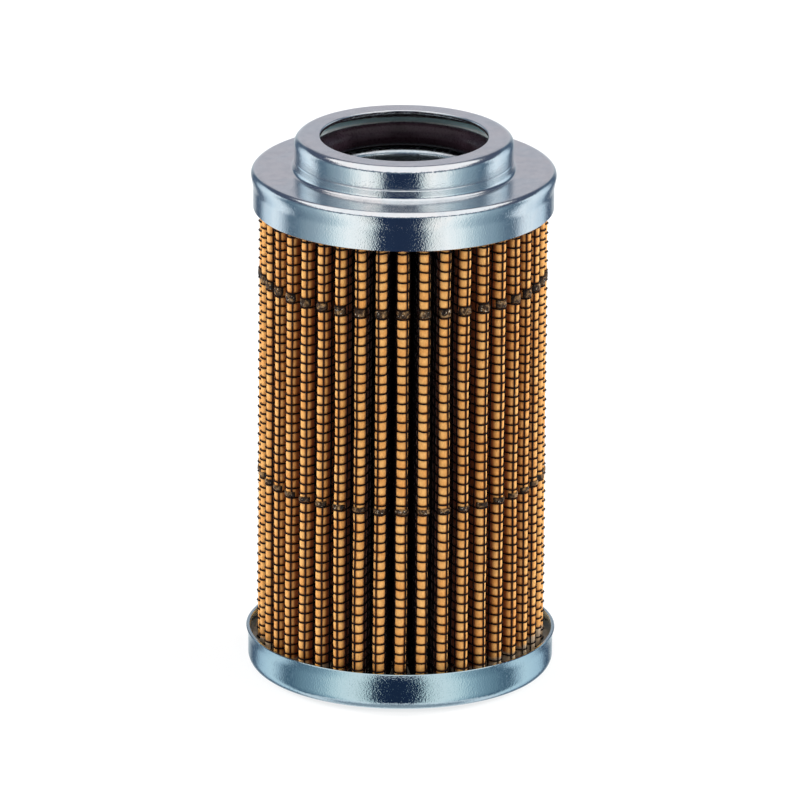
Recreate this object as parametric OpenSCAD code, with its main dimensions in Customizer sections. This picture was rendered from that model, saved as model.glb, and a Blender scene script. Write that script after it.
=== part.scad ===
// Hydraulic filter element: a pleated paper pack folded with wire screen, potted between
// a drawn upper cap with a seal collar and a plain lower cup. Millimetres, +Z up.
// The origin is on the axis, at the surface that the element stands on.
// The pleat at -Y is the one that faces the front.

/* [Overall] */
// Height from the surface it stands on to the mouth of the collar
total_h = 86; // [76:1:130]

/* [Upper cap] */
// Diameter over the shoulder, the widest place of the upper cap
cap_d = 47; // [45:0.5:50]
// Thickness of the drawn sheet of the upper cap
cap_sheet = 0.6; // [0.4:0.05:0.8]
// Outer radius of the bend from flange to skirt
shoulder_r = 1; // [0.7:0.1:1.5]
// How far the skirt draws in below the shoulder, on the radius
skirt_draw = 0.35; // [0.1:0.05:0.5]
// Height of the skirt, from its edge to the top of the flange
skirt_h = 6.2; // [5:0.1:8]
// Height of the collar over the flange
collar_h = 5.2; // [5:0.1:7]
// Outer diameter of the collar
collar_d = 33.8; // [33:0.2:36]
// Outer radius of the bend at the top of the collar
lip_r = 1.3; // [0.9:0.1:1.6]
// Diameter of the mouth inside the turned-in lip
mouth_d = 25.9; // [24.5:0.1:27]
// Radius of the bend from the flange up to the collar
foot_r = 0.7; // [0.5:0.1:1.2]
// Depth of the crease round the collar, over its foot
crease_in = 0.1; // [0.05:0.05:0.25]
// Height of the crease over the flange
crease_z = 1.6; // [1.6:0.05:2.4]

/* [Seal] */
// Inner diameter of the seal ring, the spigot that it grips
seal_id = 23; // [22:0.25:24]
// Thickness of the seal ring's round section
seal_section = 3.8; // [3:0.1:3.9]

/* [Seal seat] */
// Diameter of the seat's sleeve inside
sleeve_d = 23.4; // [22.4:0.1:23.8]
// Thickness of the seat's sheet
seat_sheet = 0.6; // [0.4:0.1:0.8]
// How far the sleeve reaches below the shelf
sleeve_h = 5; // [3:0.5:8]
// Width of the shelf that lies under the flange, past the collar
shelf_lap = 2.4; // [1.5:0.1:3.5]

/* [Core tube] */
// Gap between the sleeve and the core tube, on the radius
core_gap = 0.2; // [0.1:0.05:0.3]
// Wall of the core tube
core_wall = 0.6; // [0.4:0.1:0.8]
// Diameter of the holes in the core tube
hole_d = 3.6; // [2.5:0.1:4]
// Holes in one row around the core tube, an even number
hole_count = 12; // [8:2:14]
// Distance between the rows of holes
hole_row_pitch = 5.6; // [5:0.1:8]
// Plain length of the core tube at each end
core_plain = 7; // [6:0.5:12]

/* [Pleated pack] */
// Number of pleats
pleat_count = 41; // [38:1:44]
// Thickness of the paper
paper_t = 0.5; // [0.35:0.05:0.6]
// Radius of the fold at a pleat's crest, on the paper's middle
crest_r = 0.72; // [0.7:0.01:0.76]
// Radius of the fold at a pleat's root, on the paper's middle
root_r = 0.6; // [0.58:0.01:0.64]
// Least gap between the pack and the skirt, on the radius
pack_gap = 0.1; // [0.05:0.05:0.3]
// Least gap between the pack and the lower cup's wall, on the radius
cup_gap = 0.5; // [0.3:0.05:1]
// Gap between the core tube and the pleat roots
root_gap = 0.15; // [0.1:0.05:0.3]
// Thickness of the fine screen inside the pleats
inner_screen_t = 0.2; // [0.1:0.05:0.2]

/* [Wire screen] */
// Diameter of the wires
wire_d = 0.25; // [0.2:0.01:0.26]
// Distance from one wire to the next
wire_pitch = 1.5; // [1.3:0.05:1.6]
// Slack between crossing wires
wire_slack = 0.02; // [0.01:0.01:0.03]

/* [Glue beads] */
// Height of the upper glue bead's middle
bead_high_z = 64.4; // [50:0.1:68]
// Height of the lower glue bead's middle
bead_low_z = 32.9; // [20:0.1:45]
// Height of a glue bead
glue_h = 1.1; // [0.6:0.1:1.2]
// Thickness of a glue bead over the wires
glue_t = 0.2; // [0.1:0.05:0.25]

/* [Lower cup] */
// Outer diameter of the cup's wall
cup_d = 47.2; // [46.6:0.1:50]
// Height of the rim over the underside of the base
cup_h = 6.2; // [5:0.1:9]
// Thickness of the cup's sheet
cup_sheet = 0.6; // [0.4:0.05:0.7]
// Outer radius of the bend from base to wall
cup_bend_r = 2; // [1.2:0.1:2.6]
// How far the rim flares out, on the radius
rim_flare = 0.3; // [0.1:0.05:0.5]
// Height of the flared part of the rim
rim_h = 1.1; // [0.8:0.1:1.6]
// Number of pressed pads under the base
pad_count = 5; // [3:1:6]
// Height of a pressed pad
pad_h = 0.4; // [0.2:0.05:0.5]
// Diameter of a pad where it leaves the base
pad_d = 6.4; // [5:0.1:7]
// Distance from the axis to the middle of a pad
pad_place_r = 17.6; // [15:0.1:18]
// Turn of the first pad from the front, towards the left
pad_turn = 16; // [0:1:30]

/* [Potting] */
// Depth of the adhesive in the lower cup
pot_low_h = 3.6; // [3:0.1:4.4]
// Depth of the adhesive under the upper cap
pot_high_h = 3.4; // [3:0.1:4.2]
// Adhesive left under and over the ends of the pleats
pot_floor = 0.8; // [0.5:0.1:1.2]

/* [Hidden] */
$fn = 96;
eps = 0.01;

// Heights
flange_top = total_h - collar_h;
flange_under = flange_top - cap_sheet;
shelf_under = flange_under - seat_sheet;
skirt_edge = flange_top - skirt_h;
base_under = pad_h;
base_top = base_under + cup_sheet;
rim_top = base_under + cup_h;
pot_low_top = base_top + pot_low_h;
pot_high_under = flange_under - pot_high_h;
pack_low = base_top + pot_floor;
pack_high = shelf_under - pot_floor;

// Upper cap radii
cap_r = cap_d / 2;
skirt_r = cap_r - skirt_draw;
skirt_in = skirt_r - cap_sheet;
collar_r = collar_d / 2;
collar_in = collar_r - cap_sheet;
mouth_r = mouth_d / 2;

// Seal, seat and core tube radii
seal_mid_r = (seal_id + seal_section) / 2;
sleeve_in = sleeve_d / 2;
sleeve_r = sleeve_in + seat_sheet;
shelf_r = collar_r + shelf_lap;
core_in = sleeve_r + core_gap;
core_r = core_in + core_wall;

// Pack radii: it goes into both caps, and each layer lies on the one before it
skirt_room = skirt_in - pack_gap;
cup_room = cup_d / 2 - cup_sheet - cup_gap;
pack_r = min(skirt_room, cup_room);
half_paper = paper_t / 2;
screen_r = pack_r - wire_d - wire_slack;
fold_r = crest_r * pack_r / skirt_room;
crest_mid = screen_r - wire_d - half_paper - fold_r;
root_mid = core_r + root_gap + inner_screen_t + half_paper + root_r;

// One pleat: the leg is the straight line that touches both folds
half_turn = 180 / pleat_count;
root_at = [root_mid * cos(half_turn), root_mid * sin(half_turn)];
leg_run = root_at - [crest_mid, 0];
lean = atan2(leg_run[1], leg_run[0]) - acos((fold_r + root_r) / norm(leg_run));
crest_steps = 8;
root_steps = 3;

// The folded sheet at a distance off the paper's middle, positive towards the outside
function crest_fold(off) = [for (j = [0:crest_steps])
    let (t = lean * (2 * j / crest_steps - 1))
    [crest_mid + (fold_r + off) * cos(t), (fold_r + off) * sin(t)]];
function root_fold(off) = [for (j = [0:root_steps])
    let (t = lean + 180 - 2 * (lean - half_turn) * j / root_steps)
    root_at + (root_r - off) * [cos(t), sin(t)]];
function turned(p, a) = [p[0] * cos(a) - p[1] * sin(a), p[0] * sin(a) + p[1] * cos(a)];
function fold_outline(off) = [for (i = [0:pleat_count - 1])
    each [for (p = concat(crest_fold(off), root_fold(off))) turned(p, 2 * half_turn * i)]];

// A place on the sheet, measured along it from the middle of a crest
screen_mid = fold_r + half_paper + wire_d / 2;
crest_run = screen_mid * lean * PI / 180;
function sheet_place(s) = let (over = max(abs(s) - crest_run, 0), side = sign(s),
    t = side * min(abs(s), crest_run) / screen_mid * 180 / PI)
    [crest_mid, 0] + screen_mid * [cos(t), sin(t)]
    + over * [cos(side * (lean + 90)), sin(side * (lean + 90))];

// A quarter bend, as points from one angle to another about a centre
bend_steps = 8;
function bend(c, r, a0, a1) = [for (j = [0:bend_steps])
    let (t = a0 + (a1 - a0) * j / bend_steps) c + r * [cos(t), sin(t)]];

module front() { rotate([0, 0, -90]) children(); }

// A folded layer between two distances off the paper's middle
module folded_layer(off_in, off_out, low, high) {
    front() translate([0, 0, low]) linear_extrude(high - low) difference() {
        polygon(fold_outline(off_out));
        polygon(fold_outline(off_in));
    }
}

// Adhesive of a turned profile, with the folded pack standing in it
module adhesive(profile, pack_from, pack_to) {
    front() difference() {
        rotate_extrude() polygon(profile);
        translate([0, 0, pack_from]) linear_extrude(pack_to - pack_from)
            polygon(fold_outline(half_paper + wire_d + wire_slack));
    }
}

// One drawn sheet: skirt, shoulder, flange, collar with its crease, and the turned-in lip
module upper_cap() {
    crease_mid = flange_top + crease_z;
    crease_rise = 1.5 * crease_in;
    foot_mid = [collar_r + foot_r, flange_top + foot_r];
    outside = concat(
        [[skirt_r, skirt_edge], [skirt_r, flange_top - 2.5 * shoulder_r]],
        bend([cap_r - shoulder_r, flange_top - shoulder_r], shoulder_r, 0, 90),
        bend(foot_mid, foot_r, 270, 180),
        [[collar_r, crease_mid - crease_rise], [collar_r - crease_in, crease_mid]],
        [[collar_r, crease_mid + crease_rise]],
        bend([collar_r - lip_r, total_h - lip_r], lip_r, 0, 90),
        [[mouth_r, total_h], [mouth_r, total_h - cap_sheet]]);
    inside = concat(
        bend([collar_r - lip_r, total_h - lip_r], lip_r - cap_sheet, 90, 0),
        [[collar_in, crease_mid + crease_rise], [collar_in - crease_in, crease_mid]],
        [[collar_in, crease_mid - crease_rise]],
        bend(foot_mid, foot_r + cap_sheet, 180, 270),
        bend([cap_r - shoulder_r, flange_top - shoulder_r], shoulder_r - cap_sheet, 90, 0),
        [[skirt_in, flange_top - 2.5 * shoulder_r], [skirt_in, skirt_edge]]);
    color("silver") rotate_extrude() polygon(concat(outside, inside));
}

// The seal lies loose in the collar, on the shelf of its seat
module seal_ring() {
    color([0.13, 0.09, 0.1]) translate([0, 0, flange_under + seal_section / 2])
        rotate_extrude() translate([seal_mid_r, 0]) circle(d = seal_section);
}

// A flanged ring: the shelf lies under the flange and the sleeve guides the spigot
module seal_seat() {
    bend_r = 2 * seat_sheet;
    mid = [sleeve_in + bend_r, flange_under - bend_r];
    color("lightsteelblue") rotate_extrude() polygon(concat(
        [[sleeve_r, shelf_under - sleeve_h], [sleeve_in, shelf_under - sleeve_h]],
        bend(mid, bend_r, 180, 90),
        [[shelf_r, flange_under], [shelf_r, shelf_under]],
        bend(mid, bend_r - seat_sheet, 90, 180)));
}

// The core tube stands on the base and holds the pleats up against the flow
module core_tube() {
    top = shelf_under - seat_sheet;
    rows = floor((top - base_top - 2 * core_plain) / hole_row_pitch);
    first = (top + base_top - rows * hole_row_pitch) / 2;
    step = 360 / hole_count;
    color("lightgray") difference() {
        translate([0, 0, base_top]) cylinder(h = top - base_top, r = core_r);
        translate([0, 0, base_top - 1]) cylinder(h = top - base_top + 2, r = core_in);
        for (row = [0:rows], i = [0:hole_count - 1])
            translate([0, 0, first + row * hole_row_pitch])
                rotate([0, 90, step * (i + (row % 2) / 2)])
                    translate([0, 0, core_in - 1]) cylinder(h = core_wall + 2, d = hole_d);
    }
}

module inner_screen() {
    color("dimgray") folded_layer(-half_paper - inner_screen_t, -half_paper, pack_low, pack_high);
}

module filter_paper() {
    color([0.8, 0.56, 0.25]) folded_layer(-half_paper, half_paper, pack_low, pack_high);
}

// The screen's long wires lie along the folds, against the paper
module long_wires() {
    wires_a_side = 2;
    color([0.1, 0.08, 0.08]) front() for (i = [0:pleat_count - 1], k = [-wires_a_side:wires_a_side])
        rotate([0, 0, 2 * half_turn * i]) translate(concat(sheet_place(k * wire_pitch), pack_low))
            cylinder(h = pack_high - pack_low, d = wire_d);
}

// Its cross wires lie over them as hoops, between the two beds of adhesive
module cross_wires() {
    hoop_sides = 8;
    color([0.1, 0.08, 0.08]) for (z = [pot_low_top + wire_d:wire_pitch:pot_high_under - wire_d])
        translate([0, 0, z]) rotate_extrude() translate([screen_r + wire_slack + wire_d / 2, 0])
            circle(d = wire_d, $fn = hoop_sides);
}

// A row of glue on the crests, in the space between two hoops
module glue_row(z) {
    row = round((z - pot_low_top - wire_d) / wire_pitch - 0.5) + 0.5;
    inner = fold_r + half_paper + wire_d + wire_slack;
    color([0.3, 0.26, 0.2]) front() for (i = [0:pleat_count - 1])
        rotate([0, 0, 2 * half_turn * i])
            translate([crest_mid, 0, pot_low_top + wire_d + row * wire_pitch - glue_h / 2])
                rotate([0, 0, -80]) rotate_extrude(angle = 160)
                    translate([inner, 0]) square([glue_t, glue_h]);
}

module glue_bead_upper() { glue_row(bead_high_z); }

module glue_bead_lower() { glue_row(bead_low_z); }

// It fills the cap from its seat's shelf and its flange down into the pleats
module potting_upper() {
    corner = shoulder_r - cap_sheet;
    color("darkkhaki") adhesive([
        [core_r, pot_high_under], [skirt_in, pot_high_under], [skirt_in, flange_under - corner],
        [cap_r - shoulder_r, flange_under], [shelf_r, flange_under],
        [shelf_r, shelf_under], [core_r, shelf_under]], pot_high_under - 1, pack_high);
}

// It fills the cup's floor and bend and rises round the feet of the pleats
module potting_lower() {
    wall_in = cup_d / 2 - cup_sheet;
    bend_in = cup_bend_r - cup_sheet;
    color("darkkhaki") adhesive(concat(
        [[core_r, base_top]],
        bend([wall_in - bend_in, base_top + bend_in], bend_in, 270, 360),
        [[wall_in, pot_low_top], [core_r, pot_low_top]]), pack_low, pot_low_top + 1);
}

// One pressed sheet: base with pads, bend, wall and flared rim
module lower_cup() {
    wall_r = cup_d / 2;
    wall_in = wall_r - cup_sheet;
    bend_mid = [wall_r - cup_bend_r, base_under + cup_bend_r];
    color("silver") difference() {
        union() {
            rotate_extrude() polygon(concat(
                [[0, base_under]],
                bend(bend_mid, cup_bend_r, 270, 360),
                [[wall_r, rim_top - rim_h], [wall_r + rim_flare, rim_top]],
                [[wall_in + rim_flare, rim_top], [wall_in, rim_top - rim_h]],
                bend(bend_mid, cup_bend_r - cup_sheet, 360, 270),
                [[0, base_top]]));
            pads(0, base_under, pad_d / 2);
        }
        pads(base_under, base_top + eps, pad_d / 2 - cup_sheet);
    }
}

// The pads as short cones, and the hollows that the press leaves over them
module pads(low, high, top_r) {
    for (i = [0:pad_count - 1])
        rotate([0, 0, -90 - pad_turn + 360 / pad_count * i])
            translate([pad_place_r, 0, low])
                cylinder(h = high - low, r1 = top_r - pad_h, r2 = top_r);
}

upper_cap();
seal_ring();
seal_seat();
core_tube();
inner_screen();
filter_paper();
long_wires();
cross_wires();
glue_bead_upper();
glue_bead_lower();
potting_upper();
potting_lower();
lower_cup();
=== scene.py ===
import math
import bmesh
import bpy
import numpy as np
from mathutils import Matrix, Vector


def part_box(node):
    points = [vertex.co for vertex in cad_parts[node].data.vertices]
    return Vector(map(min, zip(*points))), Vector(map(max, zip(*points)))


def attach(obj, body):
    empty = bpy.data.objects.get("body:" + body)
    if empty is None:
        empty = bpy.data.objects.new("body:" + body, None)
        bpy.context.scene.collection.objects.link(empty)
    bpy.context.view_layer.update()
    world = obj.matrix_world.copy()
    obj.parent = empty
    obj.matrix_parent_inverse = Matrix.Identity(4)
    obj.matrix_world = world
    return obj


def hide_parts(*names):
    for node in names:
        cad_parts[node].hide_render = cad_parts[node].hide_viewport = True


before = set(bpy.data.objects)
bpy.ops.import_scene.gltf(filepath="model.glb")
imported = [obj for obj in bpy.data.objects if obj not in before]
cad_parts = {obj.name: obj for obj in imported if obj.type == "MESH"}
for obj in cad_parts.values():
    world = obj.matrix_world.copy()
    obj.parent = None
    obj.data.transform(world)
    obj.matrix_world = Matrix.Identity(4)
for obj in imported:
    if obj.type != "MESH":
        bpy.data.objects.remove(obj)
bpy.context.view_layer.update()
scene = bpy.context.scene
mm = 0.001


def put(tree, kind, values=None, **settings):
    # a node with its settings, and its sockets set to numbers or linked to other sockets
    node = tree.nodes.new(kind)
    for key, value in settings.items():
        setattr(node, key, value)
    for key, value in (values or {}).items():
        if isinstance(value, bpy.types.NodeSocket):
            tree.links.new(value, node.inputs[key])
        else:
            node.inputs[key].default_value = value
    return node


def made(tree, kind, values=None, **settings):
    return put(tree, kind, values, **settings).outputs[0]


def geo(tree, kind, values=None, **settings):
    return made(tree, "GeometryNode" + kind, values, **settings)


def maths(tree, operation, a, b=0.0, c=0.0, clamp=False):
    return made(tree, "ShaderNodeMath", {0: a, 1: b, 2: c}, operation=operation, use_clamp=clamp)


def plus(tree, a, *more):
    for b in more:
        a = maths(tree, "ADD", a, b)
    return a


def minus(tree, a, b):
    return maths(tree, "SUBTRACT", a, b)


def times(tree, a, *more):
    for b in more:
        a = maths(tree, "MULTIPLY", a, b)
    return a


def over(tree, a, b):
    return maths(tree, "DIVIDE", a, b)


def vectors(tree, operation, a, b=(0, 0, 0)):
    node = put(tree, "ShaderNodeVectorMath", {0: a, 1: b}, operation=operation)
    return node.outputs["Value" if operation == "LENGTH" else "Vector"]


def scaled(tree, vector, factor):
    return made(tree, "ShaderNodeVectorMath", {0: vector, "Scale": factor}, operation="SCALE")


def split(tree, vector):
    return put(tree, "ShaderNodeSeparateXYZ", {0: vector}).outputs


def raised(tree, height):
    return made(tree, "ShaderNodeCombineXYZ", {"Z": height})


def fromAxis(tree, place):
    return vectors(tree, "LENGTH", vectors(tree, "MULTIPLY", place, (1, 1, 0)))


def smooth(tree, value, low, high, toLow=0.0, toHigh=1.0):
    return made(tree, "ShaderNodeMapRange", {0: value, 1: low, 2: high, 3: toLow, 4: toHigh},
                interpolation_type="SMOOTHSTEP")


def fade(tree, value, ends):
    # from 0 to 1 between two places in millimetres
    return smooth(tree, value, ends[0] * mm, ends[1] * mm)


def mixColour(tree, factor, a, b, blend="MIX"):
    a, b = ((*colour, 1) if isinstance(colour, tuple) else colour for colour in (a, b))
    return put(tree, "ShaderNodeMix", {0: factor, 6: a, 7: b}, data_type="RGBA", blend_type=blend).outputs[2]


def ramp(tree, factor, stops):
    node = put(tree, "ShaderNodeValToRGB", {"Fac": factor})
    elements = node.color_ramp.elements
    while len(elements) < len(stops):
        elements.new(0.5)
    for element, (place, colour) in zip(elements, stops):
        element.position = place
        element.color = (*colour, 1)
    return node.outputs["Color"]


def noise(tree, vector, scale, detail=2.0, roughness=0.5, distortion=0.0, output="Fac"):
    return put(tree, "ShaderNodeTexNoise", {
        "Vector": vector, "Scale": scale, "Detail": detail, "Roughness": roughness,
        "Distortion": distortion}).outputs[output]


def newTree(name, kind, inputs, outputs):
    # a node group with named sockets: the tree, its input sockets by name, and its last node
    tree = bpy.data.node_groups.new(name, kind)
    for label, default in inputs.items():
        # an input has a number to start from, or only says its kind
        socketKind = {int: "Int", float: "Float"}.get(type(default), default)
        socket = tree.interface.new_socket(name=label, in_out="INPUT", socket_type="NodeSocket" + socketKind)
        if socketKind != default:
            socket.default_value = default
    for label, socketKind in outputs.items():
        tree.interface.new_socket(name=label, in_out="OUTPUT", socket_type="NodeSocket" + socketKind)
    given = tree.nodes.new("NodeGroupInput").outputs
    return tree, given, tree.nodes.new("NodeGroupOutput")


def giveOut(tree, leave, values):
    for label, value in values.items():
        tree.links.new(value, leave.inputs[label])
    return tree


def useGroup(tree, group, values):
    kind = "GeometryNodeGroup" if group.bl_idname == "GeometryNodeTree" else "ShaderNodeGroup"
    return put(tree, kind, values, node_tree=group).outputs


def newMaterial(name, baseColour, roughness, metallic=0.0, plain=None):
    material = bpy.data.materials.new(name)
    material.use_nodes = True
    material.diffuse_color = (*baseColour, 1)
    tree = material.node_tree
    shader = tree.nodes["Principled BSDF"]
    shader.inputs["Base Color"].default_value = (*baseColour, 1)
    shader.inputs["Roughness"].default_value = roughness
    shader.inputs["Metallic"].default_value = metallic
    for label, value in (plain or {}).items():
        shader.inputs[label].default_value = value
    return material, tree, shader, put(tree, "ShaderNodeTexCoord").outputs["Object"]


def paint(tree, shader, colour, roughness):
    tree.links.new(colour, shader.inputs["Base Color"])
    tree.links.new(roughness, shader.inputs["Roughness"])


def bump(tree, shader, height, strength, distance, earlier=None):
    node = put(tree, "ShaderNodeBump", {"Height": height, "Strength": strength, "Distance": distance})
    if earlier is not None:
        tree.links.new(earlier, node.inputs["Normal"])
    tree.links.new(node.outputs["Normal"], shader.inputs["Normal"])
    return node.outputs["Normal"]


def makeSheetGrain():
    # fine grain of a plated sheet, with waves and the streaks that drawing leaves along the axis
    share = {"grain": 0.8, "waves": 0.25, "streaks": 0.1, "waveScale": 0.3, "streakStretch": 0.06}
    tree, given, leave = newTree("sheetGrain", "ShaderNodeTree", {
        "Vector": "Vector", "Grain Scale": 2600.0, "Streak Scale": 900.0, "Cloud Scale": 90.0},
        {"Height": "Float", "Streaks": "Float", "Clouds": "Float"})
    place = given["Vector"]
    grain = noise(tree, place, given["Grain Scale"], 0.6)
    waves = noise(tree, place, times(tree, given["Grain Scale"], share["waveScale"]), 1.0)
    drawn = vectors(tree, "MULTIPLY", place, (1, 1, share["streakStretch"]))
    streaks = noise(tree, drawn, given["Streak Scale"], 3.0, 0.6)
    clouds = noise(tree, place, given["Cloud Scale"], 3.0, 0.55, 0.4)
    mixed = [times(tree, part, share[label]) for label, part in (
        ("grain", grain), ("waves", waves), ("streaks", streaks))]
    return giveOut(tree, leave, {"Height": plus(tree, *mixed), "Streaks": streaks, "Clouds": clouds})


def makeDustFall():
    # pale dust that lies on what faces up, in patches
    tree, given, leave = newTree("dustFall", "ShaderNodeTree", {
        "Vector": "Vector", "Patch Scale": 400.0, "Amount": 0.3}, {"Mask": "Float"})
    up = split(tree, put(tree, "ShaderNodeNewGeometry").outputs["Normal"])["Z"]
    facing = smooth(tree, up, -0.2, 1.0, 0.25, 1.0)
    patches = smooth(tree, noise(tree, given["Vector"], given["Patch Scale"], 5.0, 0.7), 0.45, 0.75)
    mask = maths(tree, "MULTIPLY", times(tree, facing, patches), given["Amount"], clamp=True)
    return giveOut(tree, leave, {"Mask": mask})


sheetGrain = makeSheetGrain()
dustFall = makeDustFall()

# zones are in millimetres; inside, the collar's wall is painted a matt green-blue as a painted reflection, with a
# pale painted highlight line at its foot; low down the plate is painted darker as painted shade
plate = {"streakScale": 700.0, "cloudScale": 130.0, "worn": 0.35, "lowShadeZone": (60, 20), "lowGrain": 1.25,
         "tealOut": (16.62, 16.58), "tealIn": (15.9, 16.1), "tealTop": (84.0, 83.8), "paintedTeal": (0.66, 0.95, 1.0),
         "highlightTop": (83.26, 83.2), "pale": (0.85, 0.95, 0.95), "tealMatt": 0.25, "flatMatt": 0.17,
         "flatGrain": 0.3, "fleckScale": 6000.0, "fleckShare": 0.38}


def plateMaterial(name, colour, shade, roughness, grainScale, grainDepth, tints):
    # zinc plate: bright metal, grain, drawing streaks and a faint play of blue and pink
    material, tree, shader, place = newMaterial(name, colour, roughness[0], 1.0)
    grain = useGroup(tree, sheetGrain, {
        "Vector": place, "Grain Scale": grainScale, "Streak Scale": plate["streakScale"],
        "Cloud Scale": plate["cloudScale"]})
    up, out = split(tree, place)["Z"], fromAxis(tree, place)
    colours = mixColour(tree, smooth(tree, grain["Clouds"], 0.35, 0.65), tints[0], tints[1])
    colours = mixColour(tree, smooth(tree, grain["Streaks"], 0.35, 0.75, 0.0, plate["worn"]), colours, shade)
    # painted shade: low down, over the cup, the plate is painted darker and bluer towards tints[2], and its grain
    # is deeper
    low = fade(tree, up, plate["lowShadeZone"])
    colours = mixColour(tree, low, colours, tints[2])
    # painted reflection: inside the collar the wall is painted green-blue and made less metallic and more matt;
    # under it a pale painted highlight line
    paintedTeal = times(tree, fade(tree, out, plate["tealOut"]), fade(tree, out, plate["tealIn"]),
                 fade(tree, up, plate["tealTop"]))
    colours = mixColour(tree, paintedTeal, colours, plate["paintedTeal"])
    colours = mixColour(tree, times(tree, paintedTeal, fade(tree, up, plate["highlightTop"])), colours, plate["pale"])
    tree.links.new(smooth(tree, paintedTeal, 0.0, 1.0, 1.0, 0.0), shader.inputs["Metallic"])
    # flat tops are more matt, and their grain is calmer
    flat = split(tree, put(tree, "ShaderNodeNewGeometry").outputs["True Normal"])["Z"]
    matt = plus(tree, times(tree, paintedTeal, plate["tealMatt"]),
                smooth(tree, flat, 0.9, 0.99, 0.0, plate["flatMatt"]))
    paint(tree, shader, colours, plus(tree, smooth(tree, grain["Streaks"], 0.3, 0.7, *roughness), matt))
    depth = times(tree, smooth(tree, low, 0.0, 1.0, grainDepth, grainDepth * plate["lowGrain"]),
                  smooth(tree, flat, 0.6, 0.9, 1.0, plate["flatGrain"]))
    drawn = bump(tree, shader, grain["Height"], 0.5, depth)
    flecks = smooth(tree, noise(tree, place, plate["fleckScale"], 0.0), 0.5, 0.85)
    bump(tree, shader, flecks, 0.5, times(tree, depth, plate["fleckShare"]), drawn)
    return material


zincSheet = plateMaterial(
    "zincSheet", (0.86, 0.88, 0.89), (0.74, 0.79, 0.82), (0.04, 0.10), 4200.0, 0.034 * mm,
    ((0.85, 0.88, 0.90), (0.90, 0.88, 0.88), (0.52, 0.66, 0.71)))
seatSteel = plateMaterial(
    "seatSteel", (0.72, 0.77, 0.80), (0.6, 0.66, 0.7), (0.18, 0.3), 3000.0, 0.03 * mm,
    ((0.68, 0.76, 0.80), (0.76, 0.77, 0.78), (0.7, 0.76, 0.8)))
coreSteel = plateMaterial(
    "coreSteel", (0.5, 0.52, 0.53), (0.3, 0.32, 0.33), (0.3, 0.5), 1500.0, 0.08 * mm,
    ((0.46, 0.49, 0.5), (0.55, 0.54, 0.52), (0.5, 0.51, 0.51)))

paper = {"crest": (0.66, 0.355, 0.112), "warm": (0.58, 0.255, 0.062), "stainAndShade": (0.24, 0.07, 0.012),
         "leg": (0.2, 0.048, 0.010), "gapShade": (0.022, 0.005, 0.002), "soaked": (0.35, 0.285, 0.21),
         "cellPower": 9.0, "flankShadeZone": (21.68, 20.8), "gapShadeZone": (21.0, 17.0), "stray": 0.6, "soakedTo": 5.9,
         "soakedFade": 0.7, "soakedStray": 4.0, "soakedRight": 1.5, "matt": 0.62, "soakedMatt": 0.3}


def paperMaterial(p):
    material, tree, shader, place = newMaterial("filterPaper", p["crest"], p["matt"], 0.0, {
        "Specular IOR Level": 0.25, "Sheen Weight": 0.08, "Sheen Roughness": 0.4})
    parts, out = split(tree, place), fromAxis(tree, place)
    fibres = noise(tree, vectors(tree, "MULTIPLY", place, (1, 1, 0.5)), 3200.0, 4.0, 0.65, 0.6)
    blotches = noise(tree, place, 420.0, 3.0, 0.6)
    uneven = minus(tree, blotches, 0.5)
    colour = mixColour(tree, smooth(tree, blotches, 0.3, 0.7), p["crest"], p["warm"])
    light = smooth(tree, fibres, 0.35, 0.7, 0.86, 1.1)
    light = made(tree, "ShaderNodeCombineColor", {0: light, 1: light, 2: light})
    colour = mixColour(tree, 1.0, colour, light, "MULTIPLY")
    # each cell of the screen is paler in its middle and darker along the wires: partly oil stain, partly painted
    # shade of the wires
    cells = []
    for label in ("cellRow", "cellRun"):
        phase = put(tree, "ShaderNodeAttribute", attribute_name=label).outputs["Fac"]
        wave = maths(tree, "ABSOLUTE", maths(tree, "COSINE", times(tree, phase, math.pi)))
        cells.append(maths(tree, "POWER", maths(tree, "POWER", wave, p["cellPower"]), 2.0))
    near = maths(tree, "POWER", plus(tree, *cells), 0.5)
    stainAndShade = smooth(tree, plus(tree, near, times(tree, uneven, 0.5)), 0.3, 0.95)
    colour = mixColour(tree, stainAndShade, colour, p["stainAndShade"])
    # painted shade: the flanks of the folds, and deeper in the gaps between them, are painted dark
    flank = plus(tree, out, times(tree, uneven, p["stray"] * mm))
    colour = mixColour(tree, fade(tree, flank, p["flankShadeZone"]), colour, p["leg"])
    colour = mixColour(tree, fade(tree, out, p["gapShadeZone"]), colour, p["gapShade"])
    # adhesive has soaked into the feet, a little higher on the right
    ragged = minus(tree, noise(tree, place, 260.0, 3.0), 0.5)
    edge = plus(tree, parts["Z"], times(tree, ragged, p["soakedStray"] * mm))
    edge = minus(tree, edge, smooth(tree, parts["X"], 4 * mm, 20 * mm, 0.0, p["soakedRight"] * mm))
    soaked = fade(tree, edge, (p["soakedTo"], p["soakedTo"] - p["soakedFade"]))
    colour = mixColour(tree, times(tree, soaked, 0.85), colour, p["soaked"])
    paint(tree, shader, colour, smooth(tree, soaked, 0.0, 1.0, p["matt"], p["soakedMatt"]))
    pressed = bump(tree, shader, minus(tree, 1.0, near), 0.6, 0.12 * mm)
    bump(tree, shader, fibres, 0.5, 0.06 * mm, pressed)
    return material


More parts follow.
